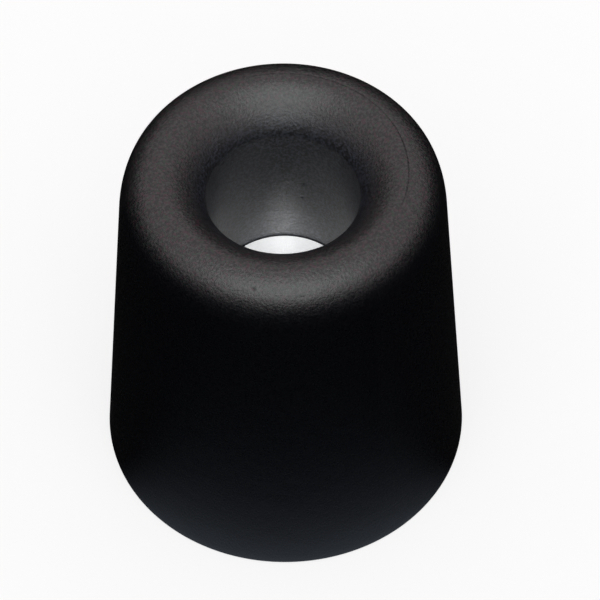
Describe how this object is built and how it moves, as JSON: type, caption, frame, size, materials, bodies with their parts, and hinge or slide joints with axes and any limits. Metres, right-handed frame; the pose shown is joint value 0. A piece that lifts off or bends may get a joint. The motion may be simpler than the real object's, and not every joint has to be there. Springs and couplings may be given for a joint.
{
  "type": "rubber door stop",
  "caption": "Tapered black rubber door buffer with a rounded lip, a flared mouth and a counterbored screw hole over a steel washer.",
  "frame": {"origin": "centre of the base, on the surface that the door stop stands on or is screwed to", "axes": "+Z along the screw hole, from the base to the lip that the door meets"},
  "size_m": [0.036, 0.036, 0.04],
  "materials": {
    "rubber": "matte black moulded rubber with a fine grain and a faint bloom",
    "washer_steel": "bright zinc plate on stamped steel"
  },
  "bodies": {
    "root": {"rubber_buffer": "rubber", "steel_washer": "washer_steel"}
  },
  "joints": []
}
